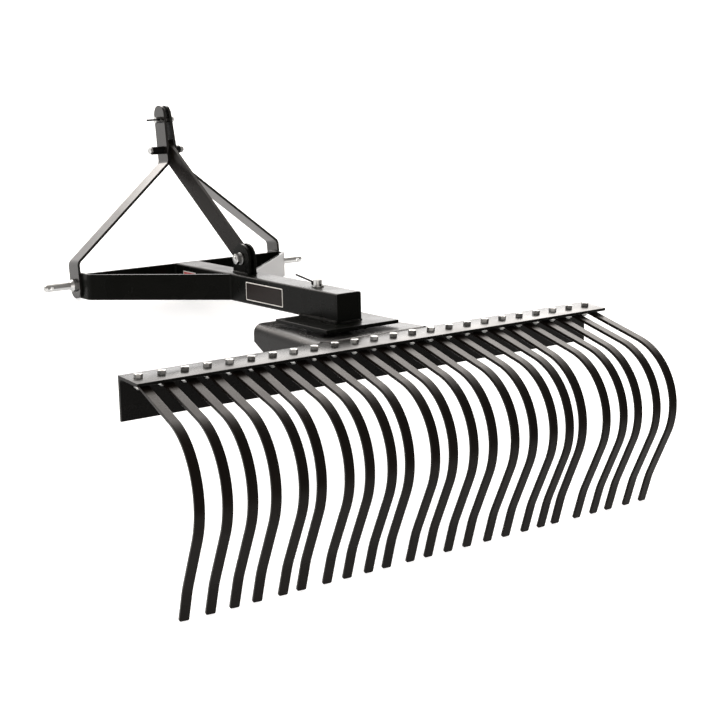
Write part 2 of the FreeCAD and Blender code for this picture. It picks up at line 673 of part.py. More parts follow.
line_x = number(inside + " - {frame_thick} / 2")
nose_y = number("{cross_ahead} - {frame_bend} / 2 + {frame_nose}")
back_y = size("frame_root") - nose_y
slant = math.degrees(math.atan2(line_x, -back_y - size("frame_nose")))
for side, name in ((-1, "side_bar_left"), (1, "side_bar_right")):
    tangent = size("frame_bend") * math.tan(math.radians(slant / 2))
    body = bent_bar(name, "XY_Plane", -90, [
        ("run", size("frame_nose") - tangent, "{frame_nose}", "-90"),
        ("bend", "{frame_bend}", -side * slant),
        ("run", math.hypot(line_x, back_y + size("frame_nose")) - tangent, None, None),
    ], "XZ_Plane", "{frame_thick}", "{frame_bar}",
        end=("%d * (%s - {frame_thick} / 2)" % (-side, inside),
             "{frame_root} - ({cross_ahead} - {frame_bend} / 2 + {frame_nose})"))
    trim_sketch = new_sketch(body, name + "_trim", "XZ_Plane")
    edge = "%d * (%s - {frame_thick} / 2 - {boom_side} / 2 - {seat})" % (-side, inside)
    far = "%d * ({hitch_spread} / 2 + {boom_side})" % -side
    tall = "{frame_bar}"
    outline(trim_sketch, [(edge, "-" + tall), (far, "-" + tall), (far, tall), (edge, tall)])
    pocket(body, trim_sketch)
    front_y = body.Shape.BoundBox.YMax - size("frame_thick") / 2
    round_edges(body, name + "_nose", "{frame_corner}",
                across_edges("x", lambda p: p.y > front_y))
    bore = new_sketch(body, name + "_bore", "YZ_Plane")
    ring(bore, "{pin_thread} + 2 * {seat}",
         "{hitch_ahead} - ({cross_ahead} - {frame_bend} / 2 + {frame_nose})")
    pocket(body, bore)
    keep(body, name, at(side * line_x, nose_y, boom_mid))

# ---------------------------------------------------------------- mast straps
lean = Placement(Vector(0, size("hitch_ahead"), boom_mid),
                 Rotation(Vector(1, 0, 0), -size("mast_lean")))
strap_x = number("{hitch_spread} / 2 - {strap_thick} / 2")
top_x = number("{mast_gap} / 2 + {strap_thick} / 2")
slope = math.degrees(math.atan2(strap_x - top_x, number("{strap_rise} - {strap_foot}")))
for side, name in ((-1, "mast_strap_left"), (1, "mast_strap_right")):
    close = size("mast_close") if side > 0 else 0
    close_text = "{mast_close}" if side > 0 else "0"
    r = size("strap_radius")
    t1 = r * math.tan(math.radians(slope / 2))
    body = bent_bar(name, "XZ_Plane", 90, [
        ("run", size("strap_foot") - t1, "{strap_foot} - {strap_radius} * 0.4", "90"),
        ("bend", "{strap_radius}", side * slope),
        ("run", math.hypot(strap_x - top_x, number("{strap_rise} - {strap_foot}")) - 2 * t1,
         None, None),
        ("bend", "{strap_radius}", -side * (slope - close)),
        ("run", size("strap_head") - t1, "{strap_head} - {strap_radius} * 0.4",
         "90 + " + close_text),
    ], "XY_Plane", "{strap_thick}", "{strap_width}",
        end=("%d * ({hitch_spread} / 2 - {strap_thick} - {mast_gap} / 2 "
             "+ {strap_head} * sin(%s))" % (-side, close_text),
             "{strap_rise} + {strap_head} * cos(%s)" % close_text))
    top_z = number("{strap_rise} + {strap_head}")
    round_edges(body, name + "_ends", "{strap_corner}",
                lambda e: e.Length < size("strap_thick") * 1.1 and (
                    all(v.Point.z < size("strap_thick") for v in e.Vertexes)
                    or all(v.Point.z > top_z - size("strap_thick") for v in e.Vertexes)))
    bore = new_sketch(body, name + "_bores", "YZ_Plane")
    ring(bore, "{pin_thread} + 2 * {seat}", "0", "{strap_below}")
    ring(bore, "{tie_thread} + 2 * {seat}", "0", "{strap_rise} + {tie_up}")
    ring(bore, "{link_thread} + 2 * {seat}", "0", "{strap_rise} + {strap_head} - {link_below}")
    pocket(body, bore)
    keep(body, name, lean * at(side * strap_x, 0, -size("strap_below")))

# ---------------------------------------------------------------- hitch pins
inner_stack = "{strap_thick} + {frame_thick} + 3 * {seat} + {pin_nut_thick}"
pin_end = "{pin_long} + {pin_shoulder}"
for side, name in ((-1, "hitch_pin_left"), (1, "hitch_pin_right")):
    shank = cylinder(name + "_shank", "{pin_thread}",
                     "%s + %s + {pin_tail}" % (pin_end, inner_stack),
                     at(0, 0, -number(inner_stack + " + {pin_tail}")))
    hexed = prism(name + "_hex", "{pin_collar}", "{pin_shoulder} / 2", at(0, 0, size("seat")))
    flare = cone(name + "_flare", "{pin_collar}", "{pin_thread}", "{pin_shoulder} / 2",
                 at(0, 0, number("{seat} + {pin_shoulder} / 2")))
    point = cone(name + "_point", "{pin_thread}", "{pin_tip}", "{pin_point}",
                 at(0, 0, number(pin_end)))
    nut = prism(name + "_nut", "{pin_nut}", "{pin_nut_thick}",
                at(0, 0, -number(inner_stack)))
    solid = fuse(name + "_solid", [shank, hexed, flare, point, nut])
    hole = cylinder(name + "_linch_hole", "{pin_hole}", "{pin_thread} * 2",
                    at(0, -size("pin_thread"), number(pin_end + " - {pin_hole_in}"), ALONG_Y))
    pin = cut(name, solid, hole)
    turn = ALONG_X if side > 0 else AGAINST_X
    keep(pin, name, at(side * size("hitch_spread") / 2, size("hitch_ahead"), boom_mid, turn))

# ---------------------------------------------------------------- mast top
half_top = number("{mast_gap} / 2 + {strap_thick}")
tie_z = number("{strap_rise} + {tie_up} - {strap_below}")
close_shift = size("tie_up") * math.sin(math.radians(size("mast_close")))
right_face = half_top - close_shift
tie_left = number("{spacer_left} + 2 * {seat}")
tie_right = number("{spacer_right} + 4 * {seat}")
span = half_top + right_face + tie_left + tie_right
tie_rod = doc.addObject("Part::Cylinder", "cross_bolt_rod")
tie_rod.setExpression("Radius", Expr("{tie_thread} / 2"))
tie_rod.Height = span + size("tie_nut") + size("tie_tail")
doc.recompute()
tie_head = prism("cross_bolt_head", "{tie_across}", "{tie_head}", at(0, 0, -size("tie_head")))
tie_nut = prism("cross_bolt_nut", "{tie_across}", "{tie_nut}", at(0, 0, span))
tie = fuse("cross_bolt", [tie_rod, tie_head, tie_nut])
keep(tie, "cross_bolt", lean * at(-half_top - tie_left, 0, tie_z, ALONG_X))


def spacer(name, length, x):
    tube = new_body(name)
    sk = new_sketch(tube, name + "_ring", "YZ_Plane")
    ring(sk, "{tie_spacer}")
    ring(sk, "{tie_thread} + 2 * {seat}")
    pad(tube, sk, length)
    return keep(tube, name, lean * at(x, 0, tie_z))


spacer("spacer_left", "{spacer_left}", -half_top - size("seat") - size("spacer_left"))
spacer("spacer_right", "{spacer_right}", right_face + 3 * size("seat"))

link_z = number("{strap_rise} + {strap_head} - {link_below} - {strap_below}")
link_long = "{mast_gap} + 2 * {strap_thick} + {link_left} + {link_right}"
link = cylinder("top_pin_body", "{link_thread}", link_long, at(0, 0, 0))
link_hole = cylinder("top_pin_hole", "{linch_thick} + 2 * {seat}", "{link_thread} * 2",
                     at(0, -size("link_thread"), size("link_left") / 2, ALONG_Y))
top_pin = cut("top_link_pin", link, link_hole)
keep(top_pin, "top_link_pin", lean * at(-half_top - size("link_left"), 0, link_z, ALONG_X))
handle_y = number("{link_thread} / 2 + {linch_thick}")
peg = cylinder("linch_peg", "{linch_thick}",
               "{link_thread} + {linch_thick} + {linch_out}", at(0, -handle_y, 0, ALONG_Y))
knee = doc.addObject("Part::Sphere", "linch_knee")
knee.setExpression("Radius", Expr("{linch_thick} / 2"))
doc.recompute()
knee.Placement = at(0, -handle_y, 0)
handle = cylinder("linch_handle", "{linch_thick}", "{linch_long}",
                  at(0, -handle_y, 0, AGAINST_X))
linch = fuse("linch_pin", [peg, knee, handle])
keep(linch, "linch_pin", lean * at(-half_top - size("link_left") / 2, 0, link_z))

# ---------------------------------------------------------------- brace and lugs
lug_at = Vector(0, size("lug_ahead"), boom_top + size("lug_up"))
mast_part = "({strap_rise} + {tie_up} - {strap_below})"
run_y = "({hitch_ahead} + %s * sin({mast_lean}) - {lug_ahead})" % mast_part
run_z = "(%s * cos({mast_lean}) - {boom_side} / 2 - {lug_up})" % mast_part
span_text = "sqrt(%s ^ 2 + %s ^ 2)" % (run_y, run_z)
brace_long = number(span_text)
brace_turn = math.degrees(math.atan2(number(run_z), number(run_y)))
brace = new_body("brace")
brace_sketch = new_sketch(brace, "brace_outline", "YZ_Plane")
w = size("brace_width") / 2
low_arc = brace_sketch.addGeometry(Part.ArcOfCircle(
    Part.Circle(Vector(0, 0, 0), Vector(0, 0, 1), w), math.pi / 2, 3 * math.pi / 2))
high_arc = brace_sketch.addGeometry(Part.ArcOfCircle(
    Part.Circle(Vector(brace_long, 0, 0), Vector(0, 0, 1), w), -math.pi / 2, math.pi / 2))
under_line = brace_sketch.addGeometry(Part.LineSegment(Vector(0, -w, 0),
                                                       Vector(brace_long, -w, 0)))
over_line = brace_sketch.addGeometry(Part.LineSegment(Vector(brace_long, w, 0),
                                                      Vector(0, w, 0)))
for a, pa, b, pb in ((low_arc, 2, under_line, 1), (under_line, 2, high_arc, 1),
                     (high_arc, 2, over_line, 1), (over_line, 2, low_arc, 1)):
    brace_sketch.addConstraint(Sketcher.Constraint("Tangent", a, pa, b, pb))
brace_sketch.addConstraint(Sketcher.Constraint("Coincident", -1, 1, low_arc, 3))
brace_sketch.addConstraint(Sketcher.Constraint("Horizontal", over_line))
drive(brace_sketch, "Radius", (low_arc,), "{brace_width} / 2")
drive(brace_sketch, "DistanceX", (-1, 1, high_arc, 3), span_text)
pad(brace, brace_sketch, "{brace_thick}", symmetric=True)
brace_bores = new_sketch(brace, "brace_bores", "YZ_Plane")
ring(brace_bores, "{lug_bolt} + 2 * {seat}")
ring(brace_bores, "{tie_thread} + 2 * {seat}", span_text)
pocket(brace, brace_bores)
keep(brace, "brace", Placement(lug_at, Rotation(Vector(1, 0, 0), brace_turn)))

lug_x = number("{brace_thick} / 2 + {seat}")
for side, name in ((-1, "brace_lug_left"), (1, "brace_lug_right")):
    lug = new_body(name)
    sk = new_sketch(lug, name + "_outline", "YZ_Plane")
    half = "({lug_width} / 2)"
    outline(sk, [("-" + half, "-{lug_up} + {seat}"), (half, "-{lug_up} + {seat}"),
                 (half, half), ("-" + half, half)])
    pad(lug, sk, "{lug_thick}")
    round_edges(lug, name + "_top", "{lug_corner}", across_edges("x", lambda p: p.z > 0))
    bore = new_sketch(lug, name + "_bore", "YZ_Plane")
    ring(bore, "{lug_bolt} + 2 * {seat}")
    pocket(lug, bore)
    shift = lug_x if side > 0 else -lug_x - size("lug_thick")
    keep(lug, name, at(shift, lug_at.y, lug_at.z))

lug_out = lug_x + size("lug_thick") + size("seat")
near = size("lug_washer") + size("lug_nut")
far = number("{brace_thick} + 4 * {seat} + 2 * {lug_thick}")
lug_rod = cylinder("brace_bolt_rod", "{lug_bolt}",
                   "{brace_thick} + 4 * {seat} + 2 * {lug_thick} + 2 * {lug_washer} "
                   "+ {lug_nut} + {lug_tail} + {lug_head} / 2",
                   at(0, 0, -near - size("lug_tail")))
lug_nut = prism("brace_bolt_nut", "{lug_across}", "{lug_nut}", at(0, 0, -near))
lug_wash = cylinder("brace_bolt_washer", "{lug_bolt} * 2", "{lug_washer}",
                    at(0, 0, -size("lug_washer")))
lug_wash2 = cylinder("brace_bolt_washer_right", "{lug_bolt} * 2", "{lug_washer}",
                     at(0, 0, far))
lug_head = prism("brace_bolt_head", "{lug_across}", "{lug_head}",
                 at(0, 0, far + size("lug_washer")))
brace_bolt = fuse("brace_bolt", [lug_rod, lug_head, lug_wash, lug_wash2, lug_nut])
keep(brace_bolt, "brace_bolt", at(-lug_out, lug_at.y, lug_at.z, ALONG_X))

# ---------------------------------------------------------------- stand it down
doc.recompute()
corners = [place.multVec(v.Point) for obj, place in pieces
           if obj.Label[-2:].isdigit() for v in obj.Shape.Vertexes]
foot_r = size("strap_corner")
foot_c = lean.multVec(Vector(0, 0, foot_r - size("strap_below")))


def lowest(angle):
    """Heights of the tine tips and of the strap feet once leant forward by an angle."""
    s, c = math.sin(angle), math.cos(angle)
    tips = min(-p.y * s + p.z * c for p in corners)
    feet = -foot_c.y * s + foot_c.z * c - foot_r
    return tips, feet


low_angle, high_angle = 0.0, math.radians(60)
for _ in range(60):
    middle = (low_angle + high_angle) / 2
    tips, feet = lowest(middle)
    if feet > tips:
        low_angle = middle
    else:
        high_angle = middle
park = Rotation(Vector(1, 0, 0), -math.degrees(low_angle))

for obj, place in pieces:
    obj.Placement = Placement(Vector(), park) * place
doc.recompute()
boxes = [obj.Shape.optimalBoundingBox(False, False) for obj, place in pieces]
shift = Vector(-(min(b.XMin for b in boxes) + max(b.XMax for b in boxes)) / 2,
               -(min(b.YMin for b in boxes) + max(b.YMax for b in boxes)) / 2,
               -min(b.ZMin for b in boxes))
for obj, place in pieces:
    obj.Placement = Placement(shift, park) * place
doc.recompute()

for obj in doc.Objects:
    if "Invalid" in obj.State or "Error" in obj.State:
        raise RuntimeError("not sound: " + obj.Name)
    if hasattr(obj, "Shape") and obj.isDerivedFrom("Part::Feature") \
            and not obj.isDerivedFrom("Sketcher::SketchObject"):
        if obj.Shape.isNull() or not obj.Shape.isValid():
            raise RuntimeError("bad shape: " + obj.Name)

frame = Placement(shift, park)
print("lean %.4f deg, shift %s" % (math.degrees(low_angle), shift))


def told(name, point, direction=None):
    p = frame.multVec(point)
    text = "%s %.6f %.6f %.6f" % (name, p.x / 1000, p.y / 1000, p.z / 1000)
    if direction:
        d = park.multVec(direction)
        text += "  axis %.6f %.6f %.6f" % (d.x, d.y, d.z)
    print(text)


told("king pin", Vector(0, pivot_y, bracket_top), Vector(0, 0, 1))
told("hitch pin left", Vector(-size("hitch_spread") / 2, size("hitch_ahead"), boom_mid))
told("hitch pin right", Vector(size("hitch_spread") / 2, size("hitch_ahead"), boom_mid))
told("top link", lean.multVec(Vector(0, 0, link_z)))
told("cross bolt", lean.multVec(Vector(0, 0, tie_z)))

os.makedirs("parts", exist_ok=True)
for obj, place in pieces:
    obj.Shape.exportStep(os.path.join("parts", obj.Label + ".step"))
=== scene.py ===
import json
import math
import bmesh
import bpy
import numpy as np
from mathutils import Matrix, Vector


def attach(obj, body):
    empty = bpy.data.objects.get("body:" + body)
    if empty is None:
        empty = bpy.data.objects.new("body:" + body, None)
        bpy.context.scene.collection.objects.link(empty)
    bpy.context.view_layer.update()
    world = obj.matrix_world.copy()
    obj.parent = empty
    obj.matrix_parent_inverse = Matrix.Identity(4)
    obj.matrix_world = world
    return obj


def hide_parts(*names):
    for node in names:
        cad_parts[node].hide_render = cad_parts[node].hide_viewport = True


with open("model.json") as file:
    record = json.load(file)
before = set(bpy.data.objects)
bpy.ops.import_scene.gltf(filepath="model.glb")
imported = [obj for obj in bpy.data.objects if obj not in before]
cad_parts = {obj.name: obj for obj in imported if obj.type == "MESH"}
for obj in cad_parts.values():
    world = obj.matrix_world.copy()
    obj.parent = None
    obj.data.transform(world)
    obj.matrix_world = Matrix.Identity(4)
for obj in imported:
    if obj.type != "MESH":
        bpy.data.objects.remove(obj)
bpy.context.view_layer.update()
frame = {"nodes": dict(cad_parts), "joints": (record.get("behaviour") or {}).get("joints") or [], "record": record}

MM = 0.001
X, Y, Z = np.eye(3)

# ---------------------------------------------------------------- the rake's own level frame
# The rake is stored as it parks, leant forward on its tines and strap feet. Shapes below are
# written in its level frame: X right, Y forward from the row of tine bolts, Z up from the
# tine tips. The swivel joint gives the lean and the place.
SWIVEL = frame["joints"][0]
PIVOT_AHEAD = 209 * MM
BRACKET_TOP = 540 * MM
UP = np.array(SWIVEL["axis"])
LEVEL_TO_ROW = np.array([[1, 0, 0], [0, UP[2], UP[1]], [0, -UP[1], UP[2]]])
SHIFT = np.array(SWIVEL["pos_m"]) - LEVEL_TO_ROW @ np.array([0, PIVOT_AHEAD, BRACKET_TOP])

# Sizes of the solids that the pieces below stand for, or are welded or stuck to.
SEAT = 0.3 * MM                  # play where pieces meet
BAR_TOP = 535 * MM
BAR_TILT = 4.2                   # rise of the bar's top leg to the front, in degrees
BAR_LENGTH = 1524 * MM
BAR_FLANGE = 94 * MM
BAR_LEG = 113 * MM
BAR_EDGE = 52 * MM               # bolt row to the bar's rear edge
BAR_THICK = 8 * MM
BAR_ROOT = 9 * MM                # inner radius of the bend
BAR_NOSE = 1.5 * MM              # its outer radius
SAWN_EDGE = 0.8 * MM
TINE_COUNT = 24
TINE_PITCH = 63.5 * MM
TINE_WIDTH = 25 * MM
TINE_THICK = 8 * MM
TINE_EDGE = 1.2 * MM             # rolled edges of the flat bar
TINE_CORNER = 3 * MM             # rounding of the toe's corners
# A tine from its front end to its toe. A bend is its radius and its turn in degrees.
TINE_LEAD = 21.2 * MM            # front end ahead of the bolt
TINE_FLAT = 12 * MM              # straight run behind the bolt
TINE_DROOP = (60 * MM, 15 - BAR_TILT)
TINE_RUN = 200 * MM
TINE_BELLY = (176 * MM, 102)
TINE_SHANK = 134 * MM
TINE_TOE_BEND = (200 * MM, -8)
TINE_TOE = 72 * MM
# How far each tine's tip has swung to the left on its one bolt, in degrees.
SPLAYS = [8, 6.5, 6, 6, 4, 6, 3.5, 4, 3.5, 5, 2.5, 3.5,
          3, 3, 1.5, 1.5, 0.5, 1.5, 4, 0.3, 0.2, 1.5, 0.2, 0.2]
PLATE_TOP = 558 * MM
PLATE_SIDE = 240 * MM
BOOM_SIDE = 80 * MM
BOOM_HALF = BOOM_SIDE / 2
BOOM_MID = PLATE_TOP + BOOM_HALF
BOOM_TOP = PLATE_TOP + BOOM_SIDE
BOOM_REAR = 150 * MM
CROSS_AHEAD = 998 * MM
HITCH_AHEAD = 1047 * MM
MAST_LEAN = 5.9                  # forward lean of the mast, in degrees
TIE_RISE = 382 * MM              # cross bolt above the line of the hitch pins
LUG_AHEAD = 665 * MM
LUG_FACE = 13.3 * MM             # outer face of a lug from the middle
LUG_HALF = 43 * MM               # half a lug's width, and its bolt's height over the boom
BRACKET_HALF = 195 * MM          # half of the head bracket's width at the bar


def to_row(points):
    """Leans level points forward and moves them to their place in the row's frame."""
    return points @ LEVEL_TO_ROW.T + SHIFT


def turned(points, axis, degrees):
    """Turns points about X, Y or Z through the origin by the right-hand rule."""
    a = math.radians(degrees)
    i, j = {"x": (1, 2), "y": (2, 0), "z": (0, 1)}[axis]
    out = points.copy()
    out[..., i] = points[..., i] * math.cos(a) - points[..., j] * math.sin(a)
    out[..., j] = points[..., i] * math.sin(a) + points[..., j] * math.cos(a)
    return out


def on_bar(points):
    """Tilts points drawn level, with Z = 0 on the bar's top, as the bar stands."""
    return turned(points, "x", BAR_TILT) + BAR_TOP * Z


def on_mast(points):
    """Leans points drawn about the line of the hitch pins as the mast leans."""
    return turned(points, "x", -MAST_LEAN) + HITCH_AHEAD * Y + BOOM_MID * Z


# ---------------------------------------------------------------- from points to pieces
def outward(rings):
    """The rings, turned round where the faces between them would point inwards.

    The triple products of the corners, summed over every face, are six times the volume
    inside, and come out negative for a shell that is inside out.
    """
    r = rings - rings.mean(axis=(0, 1))
    nxt = np.roll(r, -1, axis=1)
    sides = (np.cross(r[:-1], nxt[:-1]) * nxt[1:] + np.cross(r[:-1], nxt[1:]) * r[1:]).sum()
    first, last = ((np.cross(end, np.roll(end, -1, axis=0)) @ end.mean(axis=0)).sum()
                   for end in (r[0], r[-1]))
    return rings if sides + last - first > 0 else rings[:, ::-1]


def rings_to_faces(rings, start):
    """Quads between neighbouring rings of points, and one flat face on each end ring."""
    count, around = rings.shape[:2]
    index = start + np.arange(count * around).reshape(count, around)
    nxt = np.roll(index, -1, axis=1)
    quads = np.stack([index[:-1], nxt[:-1], nxt[1:], index[1:]], axis=-1).reshape(-1, 4)
    return quads.tolist() + [index[0][::-1].tolist(), index[-1].tolist()]


def make_piece(name, shells, material, body, replaced=(), crease=35):
    """One object from closed shells, each a stack of rings in level metres."""
    points, faces, start = [], [], 0
    for rings in map(outward, shells):
        faces += rings_to_faces(rings, start)
        points.append(to_row(rings.reshape(-1, 3)))
        start += rings.shape[0] * rings.shape[1]
    mesh = bpy.data.meshes.new(name)
    mesh.from_pydata(np.concatenate(points).tolist(), [], faces)
    finish_piece(name, mesh, material, body, replaced, crease)


def finish_piece(name, mesh, material, body, replaced, crease):
    """Shades a mesh smooth up to the crease angle and sets it on its body."""
    mesh.polygons.foreach_set("use_smooth", np.ones(len(mesh.polygons), bool))
    mesh.set_sharp_from_angle(angle=math.radians(crease))
    mesh.update()
    mesh.materials.append(material)
    piece = bpy.data.objects.new(name, mesh)
    bpy.context.scene.collection.objects.link(piece)
    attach(piece, body)
    if replaced:
        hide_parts(*replaced)
    return piece


def dressed(node, edge):
    """The node's own form, its loose triangles merged and its flat faces joined, with every
    edge rounded over."""
    form = bmesh.new()
    form.from_mesh(frame["nodes"][node].data)
    bmesh.ops.remove_doubles(form, verts=form.verts, dist=0.002 * MM)
    bmesh.ops.dissolve_limit(form, angle_limit=math.radians(0.2), verts=form.verts,
                             edges=form.edges)
    name = node + "_finished"
    mesh = bpy.data.meshes.new(name)
    form.to_mesh(mesh)
    form.free()
    slot = SUBPARTS[node]["material_slot"]
    body = next(b for b, nodes in frame["record"]["behaviour"]["bodies"].items()
                if node in nodes)
    coat = NODE_COATS.get(node, SLOT_MATERIALS[slot])
    piece = finish_piece(name, mesh, coat, body, [node], 30)
    rounding = piece.modifiers.new("edges", "BEVEL")
    rounding.width = edge
    rounding.segments = 2
    rounding.limit_method = "ANGLE"
    rounding.angle_limit = math.radians(30)
    rounding.harden_normals = True


# ---------------------------------------------------------------- outlines and shells
def rounded_outline(corners, radii, steps=4):
    """Closed outline whose corners are arcs. An arc touches its two sides at its radius over
    the tangent of half the corner's angle, and its points are blended from one touching
    point to the other by sines, so that they stay on the circle."""
    corners = np.array(corners, float)
    outline = []
    for here, before, after, r in zip(corners, np.roll(corners, 1, 0),
                                      np.roll(corners, -1, 0), radii):
        a, b = before - here, after - here
        a, b = a / np.linalg.norm(a), b / np.linalg.norm(b)
        half = math.acos(np.dot(a, b)) / 2
        middle = here + (a + b) / np.linalg.norm(a + b) * r / math.sin(half)
        p, q = here + a * r / math.tan(half) - middle, here + b * r / math.tan(half) - middle
        whole = math.pi - 2 * half
        t = np.linspace(0, whole, steps + 1)[:, None]
        outline.append(middle + (np.sin(whole - t) * p + np.sin(t) * q) / math.sin(whole))
    return np.concatenate(outline)


def rounded_bar(wide, tall, radius, steps=3, support=0.6 * MM):
    """Rectangle with round corners, anticlockwise. One corner's quarter circle is turned to
    the other three, with a support point beside each of its ends."""
    a = np.linspace(0, math.pi / 2, steps + 1)
    arc = radius * np.stack([np.cos(a), np.sin(a)], axis=1)
    corner = np.concatenate([arc[:1] - [0, support], arc, arc[-1:] - [support, 0]])
    outline = []
    for k, (sx, sy) in enumerate(((1, 1), (-1, 1), (-1, -1), (1, -1))):
        turn = k * math.pi / 2
        spin = np.array([[math.cos(turn), math.sin(turn)], [-math.sin(turn), math.cos(turn)]])
        middle = [sx * (wide / 2 - radius), sy * (tall / 2 - radius)]
        outline.append(corner @ spin + middle)
    return np.concatenate(outline)


def bent_path(heading, steps, arc_step=4):
    """Points and headings along straight runs and bends in one plane.

    A run is its length, and a bend is (radius, turn in degrees), left turns positive.
    """
    here, a = np.zeros(2), math.radians(heading)
    points, angles = [here], [a]
    for step in steps:
        if isinstance(step, tuple):
            radius, turn = step[0], math.radians(step[1])
            side = math.copysign(1, turn)
            count = max(2, round(abs(step[1]) / arc_step))
            t = a + turn * np.arange(1, count + 1) / count
            middle = here + side * radius * np.array([-math.sin(a), math.cos(a)])
            arc = middle + side * radius * np.stack([np.sin(t), -np.cos(t)], axis=1)
            points += list(arc)
            angles += list(t)
            here, a = arc[-1], t[-1]
        else:
            here = here + step * np.array([math.cos(a), math.sin(a)])
            points.append(here)
            angles.append(a)
    return np.array(points), np.array(angles)


def carried(profile, points, angles, narrow):
    """Profile carried along a path in the YZ plane: its first axis is X, its second is
    square to the path. narrow gives each section's width as a share of the whole."""
    x = profile[None, :, 0] * narrow[:, None]
    y = points[:, None, 0] + profile[None, :, 1] * -np.sin(angles)[:, None]
    z = points[:, None, 1] + profile[None, :, 1] * np.cos(angles)[:, None]
    return np.stack([x, y, z], axis=-1)


def stretched(outline, ends):
    """Outline in the YZ plane drawn out along X through the given places."""
    ends = np.array(ends)[:, None]
    y, z = outline[None, :, 0], outline[None, :, 1]
    return np.stack(np.broadcast_arrays(ends, y, z), axis=-1)


def hex_block(across, tall, both_ends=False, around=36):
    """Hexagonal prism whose corners are cut by a 30 degree cone, as on bolts and nuts.

    The radius at an angle is half the flats' distance over the cosine of the angle from the
    nearest flat's middle. The cone lowers the rim by that radius, less the round land's,
    times tan 30, and the land's radius is nine tenths of half the flats' distance.
    """
    a = np.arange(around) * 2 * math.pi / around
    from_flat = (a + math.pi / 6) % (math.pi / 3) - math.pi / 6
    radius = across / 2 / np.cos(from_flat)
    land = across / 2 * 0.9
    fall = (radius - land) * math.tan(math.radians(30))
    levels = [(np.full(around, land), 0 * a), (radius, fall if both_ends else 0 * fall),
              (radius, tall - fall), (np.full(around, land), 0 * a + tall)]
    return np.stack([np.stack([r * np.cos(a), r * np.sin(a), z], axis=-1)
                     for r, z in levels])


def revolved(outline, around):
    """Profile of (radius, height) pairs turned about Z."""
    a = np.arange(around) * 2 * math.pi / around
    r, z = np.array(outline).T
    return np.stack([r[:, None] * np.cos(a), r[:, None] * np.sin(a),
                     np.broadcast_to(z[:, None], (len(z), around))], axis=-1)


def threaded(across, z0, z1, pitch=1.75 * MM, around=24, per_turn=6):
    """Round bar with a triangular thread: the radius falls by 0.6 pitch at the root, and
    the crest climbs one pitch for each turn. The last thread at each end fades a little."""
    rows = max(3, round((z1 - z0) / pitch * per_turn) + 1)
    z = np.linspace(z0, z1, rows)[:, None]
    a = np.arange(around)[None, :] * 2 * math.pi / around
    saw = np.abs(((z / pitch - a / (2 * math.pi)) % 1) - 0.5) * 2
    ends = np.minimum(1, np.minimum(z - z0, z1 - z) / pitch + 0.35)
    r = (across / 2 - 0.6 * pitch * saw) * np.broadcast_to(ends, saw.shape) ** 0.12
    return np.stack([r * np.cos(a), r * np.sin(a), np.broadcast_to(z, r.shape)], axis=-1)


WELD_ROOT = 0.3 * MM             # how far a bead is sunk into its corner


def weld_bead(start, end, along, up, leg, rise=None, ripple=3.2 * MM):
    """Fillet weld in the corner between two faces.

    Each section is a quarter ellipse from its foot on one face to its foot on the other,
    drawn in by up to 0.225 at its middle, which leaves it a little fuller than flat. The
    bead swells and shrinks by 7 percent once for every ripple of its length, and the ripples
    wander a little. It thins out over one leg at its two ends.
    """
    start, end, along, up = (np.array(v, float) for v in (start, end, along, up))
    rise = rise or leg
    length = np.linalg.norm(end - start)
    s = np.linspace(0, 1, max(4, round(length / ripple * 6)) + 1)
    travel = s * length
    wave = 1 + 0.07 * np.cos(travel * 2 * math.pi / ripple + 1.3 * np.sin(travel / (7 * MM)))
    ends = np.clip(np.minimum(travel, length - travel) / leg + 0.15, 0, 1) ** 0.5
    swell = (wave * ends)[:, None]
    t = np.linspace(0, math.pi / 2, 6)
    bulge = 0.55 + 0.45 * np.maximum(np.cos(t), np.sin(t)) ** 2
    a, b = leg * np.cos(t) * bulge, rise * np.sin(t) * bulge
    spine = start + s[:, None] * (end - start)
    rings = (spine[:, None, :] + (swell * a)[..., None] * along
             + (swell * b)[..., None] * up)
    root = spine - (along + up) * WELD_ROOT
    return np.concatenate([rings, root[:, None, :]], axis=1)


# ---------------------------------------------------------------- materials
def linear(code):
    """sRGB hex text to a linear RGBA colour."""
    value = np.array([int(code[i:i + 2], 16) for i in (1, 3, 5)]) / 255
    value = np.where(value <= 0.04045, value / 12.92, ((value + 0.055) / 1.055) ** 2.4)
    return (*value.tolist(), 1.0)


def add(tree, kind, inputs=(), links=(), **settings):
    """Adds one node with its settings, input values and links from (node, socket)."""
    node = tree.nodes.new(kind)
    for key, value in settings.items():
        setattr(node, key, value)
    for key, value in dict(inputs).items():
        node.inputs[key].default_value = value
    for key, (source, socket) in dict(links).items():
        tree.links.new(source.outputs[socket], node.inputs[key])
    return node


def new_material(name):
    material = bpy.data.materials.new(name)
    material.use_nodes = True
    material.node_tree.nodes.clear()
    return material, material.node_tree


# Sizes of the patterns. The peel, the zinc's cloud and the glue's mottle are at the coarse
# end of what is real, so that they show at all.
COAT_CLOUD = 1000 / 9 * MM       # slow drift of a coat's thickness along a part
ORANGE_PEEL = 2.6 * MM
PEEL_DEPTH = 0.1 * MM
ZINC_CLOUD = 9 * MM
GLUE_MOTTLE = 6 * MM


